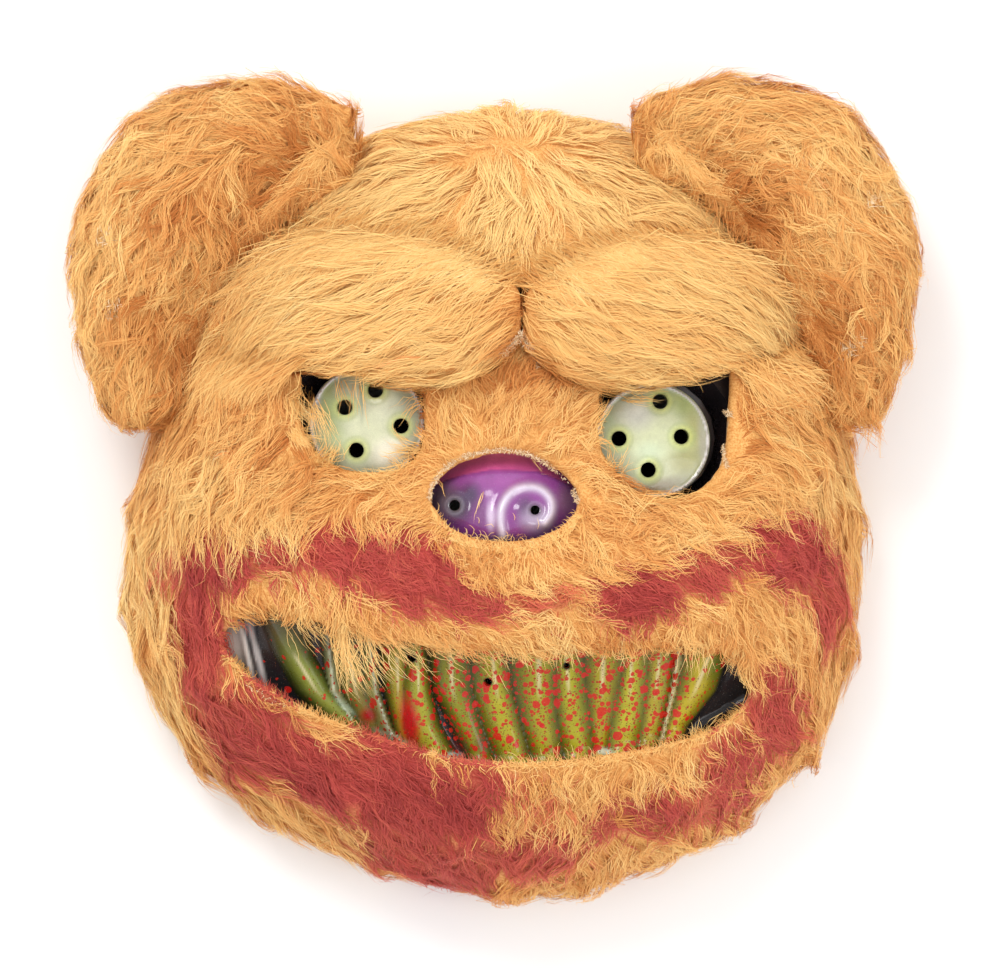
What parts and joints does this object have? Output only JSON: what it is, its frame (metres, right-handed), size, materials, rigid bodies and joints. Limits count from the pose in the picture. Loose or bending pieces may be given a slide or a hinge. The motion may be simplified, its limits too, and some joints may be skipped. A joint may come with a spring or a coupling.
{
  "type": "furry bear mask",
  "caption": "Furry bear costume mask: a moulded face with staring eyes, a nose and bared teeth under long-pile fur panels, with padded ears and an elastic strap.",
  "frame": {"origin": "on the surface that the mask lies on, under the middle of its bounding box", "axes": "+Z out of the face, +Y to the crown, +X to the wearer's left, which is the right as the face is seen"},
  "size_m": [0.2848, 0.2788, 0.102],
  "materials": {
    "shell_plastic": "thin vacuum-formed plastic, glossy, black to dark grey",
    "eye_paint": "pale mint with airbrushed green, under a glossy coat",
    "nose_paint": "purple airbrush over grey, glossy",
    "tooth_paint": "yellow-green airbrush with dark valleys and red spatter, glossy",
    "fur": "long-pile golden-orange faux fur, matted red round the mouth",
    "fur_backing": "cream woven backing with loose threads at its raw edges",
    "strap_elastic": "flat woven elastic, black"
  },
  "bodies": {
    "root": {"face_shell": "shell_plastic", "forehead_fur": "fur", "brow_fur_right": "fur", "brow_fur_left": "fur", "face_fur": "fur", "ear_right": "fur", "ear_left": "fur", "head_strap": "strap_elastic"}
  },
  "joints": []
}
